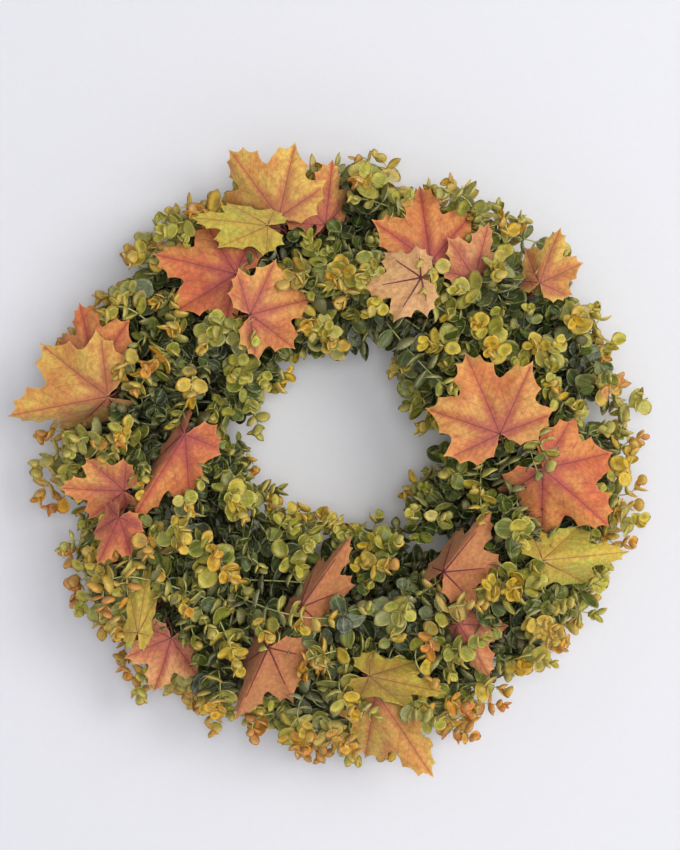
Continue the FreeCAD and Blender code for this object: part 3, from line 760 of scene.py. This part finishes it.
# Each pick: the angle of its tie, its ring and its leaves. Each leaf: angle and radius of its base, depth,
# heading, pitch, roll and length, then how far its left and right halves fold forward in degrees, how far
# its tip curls as a share of its length, how broad it is as a share of the usual leaf, and its palette.
MAPLE_PICKS = [
    (104, OUTER_RING, {
        "top_left_upright": (104.5, 250, 106, 126, -4, 0, 84, -50, 8, -0.1, 1.0, "yellow"),
        "top_edge": (94, 236, 91, 84, -3, 4, 64, 8, -58, 0.1, 1.0, "orange"),
        "top_left_yellow": (107.5, 242, 136, 171, -4, 6, 76, -30, -46, -0.12, 0.56, "green"),
    }),
    (125, OUTER_RING, {
        "top_left_orange": (119.5, 212, 124, 166, -6, -4, 82, 14, -34, -0.1, 0.92, "red"),
        "top_left_front": (122, 169, 142, 17, -16, 0, 68, 14, -26, -0.24, 1.0, "orange"),
    }),
    (158, OUTER_RING, {
        "left_red": (160, 262, 96, 103, -3, 6, 68, -58, 18, 0.1, 1.0, "red"),
        "left_large": (164.5, 240, 114, 191, -8, -4, 102, -62, -8, -0.12, 0.92, "yellow"),
    }),
    (172, INNER_RING, {
        "left_inner": (170, 156, 134, 238, -10, -6, 98, -12, -76, -0.1, 0.6, "red"),
    }),
    (192, OUTER_RING, {
        "left_lower": (187.8, 218, 104, 178, -4, 6, 62, -40, 30, 0.1, 0.82, "orange"),
        "left_bottom": (194, 226, 122, 244, -8, 4, 52, 10, -46, -0.1, 0.78, "red"),
    }),
    (218, OUTER_RING, {
        "lower_left_yellow": (220, 264, 110, 82, -6, 0, 72, -40, -52, -0.08, 0.42, "green"),
        "lower_left_pink": (226, 246, 84, 252, -8, 8, 56, -28, 10, 0.1, 1.0, "pink"),
    }),
    (254, INNER_RING, {
        "bottom_left_inner": (254.3, 148, 128, 54, -8, 176, 82, 50, 74, 0.08, 0.8, "pink"),
        "bottom_left_outer": (248.4, 196, 126, 246, -12, 180, 78, 72, 34, 0.06, 1.0, "pink"),
    }),
    (280, OUTER_RING, {
        "bottom_yellow": (277.2, 212, 130, 347, -6, -6, 78, -34, -44, -0.1, 0.56, "olive"),
        "bottom_large": (278.3, 231, 104, 303, -8, 6, 104, -56, -30, -0.06, 0.85, "yellow"),
    }),
    (314, INNER_RING, {
        "lower_right_inner": (312.6, 147, 130, 50, -8, 180, 74, 30, 78, 0.1, 1.0, "pink"),
        "lower_right_outer": (305.6, 197, 112, 300, -16, 10, 66, -36, -44, -0.1, 1.0, "pink"),
    }),
    (342, OUTER_RING, {
        "right_yellow": (333.7, 221, 112, 5, -10, -4, 88, -40, -48, -0.08, 0.68, "green"),
        "right_large": (358, 197, 126, 321, -12, -6, 92, -12, -44, -0.1, 1.0, "red"),
    }),
    (10, INNER_RING, {
        "right_front": (10, 157, 134, 113, -4, -6, 84, 8, 10, -0.06, 1.0, "orange"),
    }),
    (66, OUTER_RING, {
        "top_right_orange": (66, 216, 108, 98, -12, -4, 82, 12, -20, -0.08, 0.92, "red"),
        "top_right_tan": (66.7, 196, 138, 190, -10, 180, 56, 34, 10, 0.1, 1.0, "tan"),
    }),
    (42, OUTER_RING, {
        "top_right_yellow": (42, 264, 104, 70, -6, 6, 56, -56, 12, 0.08, 0.9, "yellow"),
        "top_right_pink": (54, 224, 108, 76, -10, 0, 54, 14, -56, 0.1, 1.0, "pink"),
    }),
]
MAPLE_LEAVES = {name: row for _, _, leaves in MAPLE_PICKS for name, row in leaves.items()}
FORK_DEPTH = 62 * MM
PICK_RADIUS = 1.4 * MM
PETIOLE_RADII, RIB_RADII = (1.3, 0.95), (0.9, 0.3)  # in mm, from their start to their end
RIB_SHARE = 0.78  # how much of a main vein has a rib behind it
BLADE_THICKNESS = 0.45 * MM
BLADE_GRID = 2.0 * MM
RIPPLES = ((5, 0.075), (12, 0.024))  # waves in a turn about the base, and their height as a share of length
SWELL, GROOVE = 2.0, 2.4  # in mm, how far a blade swells in and out, and how far it sinks along its ribs
MASK_CELLS = 40


def blade_outline(length, broad):
    """The blade's outline, anticlockwise from its base, with hollow curves between its points."""
    right = [(0, 0)] + HALF_BLADE + [BLADE_TIP]
    left = [(-x, y) for x, y in reversed(HALF_BLADE)]
    corners = np.array(right + left) * length / 100
    following = np.roll(corners, -1, axis=0)
    t = np.linspace(0, 1, 5)[:-1]
    points = []
    for a, b in zip(corners, following):
        inward = np.array([-(b - a)[1], (b - a)[0]]) * 0.07
        points += [a + (b - a) * s + inward * 4 * s * (1 - s) for s in t]
    return np.array(points) * [broad, 1]


def inside(points, polygon):
    """Which points lie inside a polygon."""
    x, y = points[:, 0], points[:, 1]
    found = np.zeros(len(points), dtype=bool)
    for a, b in zip(polygon, np.roll(polygon, -1, axis=0)):
        crosses = (a[1] > y) != (b[1] > y)
        with np.errstate(divide="ignore", invalid="ignore"):
            at = (b[0] - a[0]) * (y - a[1]) / (b[1] - a[1]) + a[0]
        found ^= crosses & (x < at)
    return found


def distance_to(points, a, b):
    """Distance of each point from a segment, and how far along the segment it lies."""
    run = b - a
    t = np.clip((points - a) @ run / (run @ run), 0, 1)
    return np.linalg.norm(points - a - t[:, None] * run, axis=1), t


def vein_lines(length, broad):
    """The main ribs and the side veins of a flat blade, each as its start and its end."""
    ribs, branches = [], []
    for x, y in RIB_TIPS:
        tip = np.array([x * broad, y]) * length / 100
        ribs.append((np.zeros(2), tip * 1.12))
        for share in (0.28, 0.44, 0.6, 0.76):
            for way in (-1, 1):
                c, s = math.cos(way * 0.72), math.sin(way * 0.72)
                start = tip * share * 1.12
                side = np.array([c * tip[0] - s * tip[1], s * tip[0] + c * tip[1]])
                branches.append((start, start + side * 0.47 * (1.15 - share)))
    return ribs, branches


def vein_distances(points, ribs, branches):
    """Distance in millimetres from the main ribs, widened as they taper, and from the side veins."""
    main = np.full(len(points), 1.0)
    side = np.full(len(points), 1.0)
    for start, end in ribs:
        gap, t = distance_to(points, start, end)
        main = np.minimum(main, gap / (1.25 - 0.75 * t))
    for start, end in branches:
        side = np.minimum(side, distance_to(points, start, end)[0])
    return main / MM, side / MM


def vein_points(ribs, branches):
    """Points along every vein and just beside the main ribs, so that the print follows them smoothly."""
    points = []
    for start, end in ribs:
        run = end - start
        reach = np.linalg.norm(run)
        beside = np.array([-run[1], run[0]]) / reach
        t = np.arange(1.0 * MM, reach, 1.6 * MM)[:, None] / reach
        points += [start + t * run + beside * offset for offset in (-1.1 * MM, 0, 1.1 * MM)]
    for start, end in branches:
        run = end - start
        reach = np.linalg.norm(run)
        t = np.arange(2.0 * MM, reach, 1.6 * MM)[:, None] / reach
        points.append(start + t * run)
    return np.concatenate(points)


def leaf_axes(heading, pitch, roll):
    """Across, along and facing axes of a leaf, turned from flat against the door."""
    along = radial(heading)
    across = np.cross(along, FRONT)
    across = turned(across, along, math.radians(roll))
    facing = turned(FRONT, along, math.radians(roll))
    hinge = unit(np.cross(along, FRONT))
    lift = math.radians(pitch)
    return turned(across, hinge, lift), turned(along, hinge, lift), turned(facing, hinge, lift)


class Blade:
    """A maple leaf's place and its bent surface."""

    def __init__(self, name):
        row = MAPLE_LEAVES[name]
        angle, radius, depth, heading, pitch, roll, length, left, right, curl, broad, palette = row
        self.name, self.length, self.palette = name, length * MM, palette
        self.broad = np.array([broad, 1])
        self.base = polar(angle, radius * MM, -depth * MM)
        self.axes = leaf_axes(heading, pitch, roll)
        self.folds, self.curl = (math.radians(left), math.radians(right)), curl
        steps = (np.arange(2 * MASK_CELLS) + 0.5) / MASK_CELLS
        x, y = np.meshgrid((steps - 1) * self.length, (steps - 0.5) * self.length, indexing="ij")
        cells = np.stack([x.ravel(), y.ravel()], axis=-1)
        shrunk = blade_outline(self.length, broad) * 0.95
        self.mask = (inside(cells, shrunk) & (cells[:, 1] > 0.04 * self.length)).reshape(x.shape)
        self.phase = np.random.default_rng(len(name) * 7 + int(length)).uniform(0, 6.28, 4)

    def fold(self, x):
        return np.where(x < 0, *self.folds)

    def height(self, x, y):
        """How far the folded, curled and rippled blade stands in front of its own plane."""
        soft = 4 * MM
        arm = np.sqrt(x**2 + soft**2) - soft
        reach = np.hypot(x, y) / self.length
        turn = np.arctan2(x, y)
        waves = zip(RIPPLES, self.phase)
        ripple = sum(np.sin(turn * count + phase) * height for (count, height), phase in waves)
        swell = np.sin(x * 95 + self.phase[2]) * np.sin(y * 80 + self.phase[3]) * SWELL * MM
        groove = np.zeros(np.shape(x))
        for rib_x, rib_y in RIB_TIPS:
            rib = math.atan2(rib_x * self.broad[0], rib_y)
            ahead = np.cos(turn - rib) > 0
            off = reach * self.length * np.sin(turn - rib) / (5 * MM)
            groove = np.maximum(groove, np.where(ahead, np.exp(-(off**2)), 0))
        swell = swell - groove * GROOVE * MM
        z = arm * np.sin(self.fold(x)) + self.curl * y * np.abs(y) / self.length
        z = z + ripple * reach**2 * self.length + swell * np.minimum(reach * 2, 1)
        return z - 0.16 * x**2 / self.length

    def surface(self, flat, lift=0.0):
        """Where points of the flat blade go when it is folded, curled and rippled."""
        x, y = flat[:, 0], flat[:, 1]
        spread = x * (1 - (1 - np.cos(self.fold(x))) * np.abs(x) / (np.abs(x) + 4 * MM))
        z = self.height(x, y) + lift
        across, along, facing = self.axes
        return self.base + spread[:, None] * across + y[:, None] * along + z[:, None] * facing

    def masked(self, x, y):
        """Which places of the flat blade are within its outline."""
        column = np.clip((x / self.length + 1) * MASK_CELLS, 0, 2 * MASK_CELLS - 1).astype(int)
        row = np.clip((y / self.length + 0.5) * MASK_CELLS, 0, 2 * MASK_CELLS - 1).astype(int)
        return self.mask[column, row]

    def covers(self, points, near):
        """Which points lie within a distance of the blade, or hide it from the front."""
        across, along, facing = self.axes
        away = points - self.base
        x, y, over = away @ across, away @ along, away @ facing
        x = x / np.cos(self.fold(x))
        touching = self.masked(x, y) & (np.abs(over - self.height(x, y)) < near)
        if self.name in AMONG_TWIGS:
            return touching
        ahead = (over - self.height(x, y)) / np.dot(facing, FRONT)
        behind = away - FRONT * ahead[:, None]
        x = behind @ across
        return touching | (ahead > 0) & self.masked(x / np.cos(self.fold(x)), behind @ along)

    def cut(self):
        """The flat blade as triangles, with the vein and edge distances of its points and its area."""
        edge = blade_outline(self.length, self.broad[0])
        ribs, branches = vein_lines(self.length, self.broad[0])
        bounds = zip(edge.min(axis=0), edge.max(axis=0))
        columns, rows = (np.arange(low, high, BLADE_GRID) for low, high in bounds)
        gx, gy = np.meshgrid(columns, rows)
        grid = np.stack([gx.ravel(), gy.ravel()], axis=-1)
        for lines, clear in ((ribs, 2.2 * MM), (branches, 0.9 * MM)):
            for start, end in lines:
                grid = grid[distance_to(grid, start, end)[0] > clear]
        grid = np.concatenate([grid, vein_points(ribs, branches)])
        grid = grid[inside(grid, edge)]
        gap = np.full(len(grid), 1.0)
        for a, b in zip(edge, np.roll(edge, -1, axis=0)):
            gap = np.minimum(gap, distance_to(grid, a, b)[0])
        keep = gap > 0.4 * BLADE_GRID
        flat = np.concatenate([edge, grid[keep]])
        rim = np.concatenate([np.zeros(len(edge)), gap[keep]]) / MM
        border = [(i, (i + 1) % len(edge)) for i in range(len(edge))]
        found = delaunay_2d_cdt([Vector(p) for p in flat], border, [], 1, 1e-6)
        flat = np.array([tuple(p) for p in found[0]])
        rim = np.array([rim[ids[0]] if ids else 0.0 for ids in found[3]])
        faces = np.array(found[2])
        corners = flat[faces]
        first, second = corners[:, 1] - corners[:, 0], corners[:, 2] - corners[:, 0]
        areas = (first[:, 0] * second[:, 1] - first[:, 1] * second[:, 0]) / 2
        faces = np.where(areas[:, None] > 0, faces, faces[:, ::-1])
        veins = np.stack([*vein_distances(flat, ribs, branches), rim], axis=-1)
        return flat, faces, veins, float(np.abs(areas).sum())

    def mesh(self):
        """The blade as a thin closed mesh, with the flat size and area of its cut."""
        flat, faces, veins, area = self.cut()
        n = len(flat)
        edges = np.concatenate([faces[:, [0, 1]], faces[:, [1, 2]], faces[:, [2, 0]]])
        in_order = np.sort(edges, axis=1)
        _, first_use, uses = np.unique(in_order, axis=0, return_index=True, return_counts=True)
        a, b = edges[first_use[uses == 1]].T
        wall = np.stack([b, a, a + n, b + n], axis=-1)
        verts = np.concatenate([self.surface(flat), self.surface(flat, -BLADE_THICKNESS)])
        places = np.concatenate([np.column_stack([flat, np.full(n, side)]) for side in (0, 1)])
        build = Build({"veins": 3, "blade": 3})
        closed = [faces, faces[:, ::-1] + n, wall]
        build.add(verts, closed, veins=np.concatenate([veins, veins]), blade=places)
        obj = build.object(f"maple_blade_{self.name}", [MAPLE[self.palette]])
        obj.data.set_sharp_from_angle(angle=math.radians(60))
        return obj, area, np.ptp(blade_outline(self.length, self.broad[0]), axis=0)


def maple_leaves(blades):
    for name, blade in blades.items():
        obj, area, size = blade.mesh()
        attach(obj, "wreath")
        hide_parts(f"maple_leaf_{name}")


def pick_stem(angle, ring, fork):
    """A pick's stem from its tied foot to its fork, and the way that it rises."""
    bend = polar(angle, ring, -TROUGH) + FRONT * PICK_OFFSET
    along = tangent(angle)
    rise = unit(fork - bend)
    middle = (bend + fork) / 2
    start, end = bend - along * 5 * MM, bend + rise * 5 * MM
    elbow = bezier(start, bend - along * 1 * MM, bend + rise * 1 * MM, end, 6)
    upper = bezier(bend + rise * 12 * MM, middle, middle, fork, 5)
    return np.concatenate([[bend - along * 12 * MM], elbow, upper]), rise


def maple_stems(blades):
    """One piece with every pick's stem and petioles, and the ribs behind its leaves."""
    build = Build({"leaf_tint": 3})
    for angle, ring, leaves in MAPLE_PICKS:
        mean = sum(MAPLE_LEAVES[name][1] for name in leaves) / len(leaves) * MM
        fork = polar(angle, (ring + mean) / 2, -FORK_DEPTH)
        stem, rise = pick_stem(angle, ring, fork)
        build.add_tube(stem, PICK_RADIUS, STEM_SIDES)
        for name in leaves:
            blade = blades[name]
            hub = blade.surface(np.zeros((1, 2)), -1.2 * MM)[0]
            run = np.linalg.norm(hub - fork)
            back = blade.axes[1]
            path = bezier(fork - rise * 2 * MM, fork + rise * run * 0.35, hub - back * run * 0.3, hub, 10)
            build.add_tube(path, np.linspace(*PETIOLE_RADII, 10) * MM, STEM_SIDES, leaf_tint=[0.3, 0, 0])
            for x, y in RIB_TIPS:
                tip = np.array([x, y]) * blade.broad * blade.length / 100
                rib = blade.surface(tip * np.linspace(0, RIB_SHARE, 10)[:, None], -0.8 * MM)
                build.add_tube(rib, np.linspace(*RIB_RADII, 10) * MM, STEM_SIDES, leaf_tint=[0.2, 0, 0])
    obj = build.object("maple_stems_moulded", [MAPLE_STEM])
    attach(obj, "wreath")
    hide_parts("maple_pick_stems")


# Wire frame, ties and hanging loop


RING_SIDES = 12
# A weld's bead: how much of the wire's radius it stands out, and its half length
BAR_BEAD, BUTT_BEAD = (0.16, 2.2 * MM), (0.2, 1.4 * MM)


def bead(angles, radius, centre, bulge, half_length):
    """How far a weld's bead stands out from a ring's wire, as a share of the wire's radius."""
    apart = (angles - centre + 180) % 360 - 180
    return bulge * np.exp(-((apart * radius * math.radians(1) / half_length) ** 2))


def frame_rings():
    """Four rings of drawn wire, each with a butt weld and small beads where the bars are welded on."""
    rings = [
        ("front_outer_ring", OUTER_RING, -TROUGH),
        ("front_inner_ring", INNER_RING, -TROUGH),
        ("back_outer_ring", BACK_OUTER_RING, 0.0),
        ("back_inner_ring", BACK_INNER_RING, 0.0),
    ]
    angles = np.arange(0, 360, 0.75)
    side = np.array([radial(a) for a in angles])
    around = (2 * np.pi * np.arange(RING_SIDES) / RING_SIDES)[None, :, None]
    cross = np.cos(around) * side[:, None] + np.sin(around) * FRONT
    a, b = np.meshgrid(np.arange(len(angles)), np.arange(RING_SIDES), indexing="ij")
    c, d = (a + 1) % len(angles) * RING_SIDES, (b + 1) % RING_SIDES
    a = a * RING_SIDES
    quads = np.stack([a + d, c + d, c + b, a + b], axis=-1).reshape(-1, 4)
    for i, (name, radius, y) in enumerate(rings):
        points = np.array([polar(a, radius, y) for a in angles])
        swell = np.zeros(len(angles))
        for weld in range(BAR_COUNT):
            swell += bead(angles, radius, 360 * (weld + 0.5) / BAR_COUNT, *BAR_BEAD)
        swell += bead(angles, radius, 250 + 17 * i, *BUTT_BEAD)
        verts = points[:, None] + cross * (WIRE * (1 + swell))[:, None, None]
        build = Build({})
        build.add(verts.reshape(-1, 3), [quads])
        obj = build.object(f"{name}_wire", [FRAME_WIRE])
        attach(obj, "wreath")
        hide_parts(name)


def add_tie(build, ring_point, along, tail, bundle):
    """Four turns of thin wire round a ring and a foot, with its two ends twisted together."""
    centre = ring_point + FRONT * bundle / 2
    wide = 2.35 * MM
    deep = bundle / 2 + wide
    t = np.linspace(0, 4, 73)
    turn = 2 * np.pi * t
    coil = centre + tail * wide * np.cos(turn)[:, None] + FRONT * (deep * np.sin(turn))[:, None]
    coil = coil + along * ((t - 2) * 0.95 * MM)[:, None]
    build.add_tube(coil, 0.42 * MM, 6)
    u = np.linspace(0, 1, 22)
    for start in (0, math.pi):
        spin = start + u * 5 * math.pi
        twist = along * np.cos(spin)[:, None] + FRONT * np.sin(spin)[:, None]
        strand = centre + tail * (wide + u * 7 * MM)[:, None] + twist * 0.45 * MM
        build.add_tube(strand, 0.4 * MM, 6)


def ties():
    build = Build({})
    for angles, ring, y, outward, *_ in SPRAY_FAMILIES.values():
        for angle in angles:
            add_tie(build, polar(angle, ring, y), tangent(angle), -radial(angle) * outward, FOOT_OFFSET)
    for angle, ring, _ in MAPLE_PICKS:
        outward = 1 if ring == OUTER_RING else -1
        place = polar(angle, ring, -TROUGH) - tangent(angle) * 8 * MM
        add_tie(build, place, tangent(angle), -radial(angle) * outward, PICK_OFFSET)
    obj = build.object("binding_wire_ties", [TIE_WIRE])
    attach(obj, "wreath")
    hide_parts("binding_ties")


def hanging_loop():
    """One wire bent into a round eye, twisted with itself down the shank, and closed round the ring."""
    eye_radius, eye_z = 10.1 * MM, -9 * MM
    low_radius = 3.4 * MM
    top_z, low_z = eye_z - eye_radius, HINGE_Z + low_radius
    open_by = math.radians(6)
    around = np.linspace(-math.pi / 2 + open_by, 1.5 * math.pi - open_by, 60)
    eye = np.stack([np.cos(around) * eye_radius, 0 * around, eye_z + np.sin(around) * eye_radius], axis=-1)
    u = np.linspace(0.04, 0.96, 40)
    spin = u * 5 * math.pi
    down_z = top_z + (low_z - top_z) * u
    twist = 0.85 * MM
    down = np.stack([-np.cos(spin) * twist, -np.sin(spin) * twist, down_z], axis=-1)
    back = -down * [1, 1, 0] + down * [0, 0, 1]
    spread = math.radians(16)
    low = np.linspace(math.pi / 2 - spread, -1.5 * math.pi + spread, 34)[::-1]
    ring = np.stack([0 * low, np.cos(low) * low_radius, HINGE_Z + np.sin(low) * low_radius], axis=-1)
    path = np.concatenate([eye, down, ring, back[::-1], eye[:1]])
    build = Build({})
    build.add_tube(path, 1.0 * MM, 10)
    obj = build.object("twisted_wire_loop", [LOOP_WIRE])
    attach(obj, "hanging_loop")
    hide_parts("hanging_loop")


# Camera, light and stage


def plane(name, corners, material):
    mesh = bpy.data.meshes.new(name)
    mesh.from_pydata(corners, [], [tuple(range(len(corners)))])
    mesh.materials.append(material)
    obj = new_object(name, mesh)
    return obj


def wall_material(name, one_sided=False):
    """Matt paint with a faint roller texture. A one-sided wall can be looked through from behind."""
    s = Shader(name)
    roller = s.noise(180, 3, 0.6)
    return s.surface(
        one_sided=one_sided,
        Base_Color=s.mix(roller, srgb(223, 223, 227), srgb(227, 227, 231)),
        Roughness=0.85,
        Normal=s.bump(roller, 0.05, 0.0005),
    )


def area_light(name, place, aim, size, watts, colour):
    data = bpy.data.lights.new(name, "AREA")
    data.shape, data.size, data.size_y = "RECTANGLE", size[0], size[1]
    data.energy, data.color = watts, colour
    obj = new_object(name, data)
    obj.location = place
    obj.rotation_euler = (Vector(aim) - Vector(place)).to_track_quat("-Z", "Y").to_euler()
    return obj


def pass_by(light, objects):
    """Keeps a light off some objects, and lets it through them."""
    passed = bpy.data.collections.new(f"{light.name}_passes")
    for obj in objects:
        passed.objects.link(obj)
    for member in passed.collection_objects:
        member.light_linking.link_state = "EXCLUDE"
    light.light_linking.receiver_collection = passed
    light.light_linking.blocker_collection = passed


def camera_and_stage():
    scene = bpy.context.scene
    data = bpy.data.cameras.new("camera")
    data.lens = 92
    camera = new_object("camera", data)
    camera.location = (-0.002, -2.26, CENTRE_Z + 0.036)
    camera.rotation_euler = (math.pi / 2, 0, 0)
    scene.camera = camera
    scene.view_settings.view_transform = "Standard"

    wall_y, floor_z = 0.012, -1.25
    corners = [(-3, wall_y, floor_z), (3, wall_y, floor_z), (3, wall_y, 2.5), (-3, wall_y, 2.5)]
    wall = plane("wall", corners, wall_material("wall_paint", one_sided=True))
    corners = [(-4, -4, floor_z), (4, -4, floor_z), (4, 4, floor_z), (-4, 4, floor_z)]
    floor = plane("floor", corners, wall_material("floor_paint"))

    world = bpy.data.worlds.new("studio")
    world.use_nodes = True
    background = world.node_tree.nodes["Background"]
    background.inputs["Color"].default_value = (0.93, 0.95, 1.0, 1)
    background.inputs["Strength"].default_value = 0.42
    scene.world = world
    aim = (0, 0, CENTRE_Z)
    area_light("key", (3.4, -4.6, 0.9), aim, (3.0, 3.0), 156, (1.0, 0.985, 0.96))
    area_light("fill", (0.25, -4.3, -0.1), aim, (1.6, 1.6), 57, (0.97, 0.98, 1.0))
    back = area_light("back", (1.6, 3.4, 0.8), aim, (2.4, 2.4), 110, (0.97, 0.98, 1.0))
    back.visible_glossy = False
    pass_by(back, [wall, floor])


camera_and_stage()
blades = {name: Blade(name) for name in MAPLE_LEAVES}
grow_sprays(blades)
maple_leaves(blades)
maple_stems(blades)
frame_rings()
ties()
hanging_loop()
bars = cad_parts["cross_bars"].data
bars.materials.clear()
bars.materials.append(FRAME_WIRE)
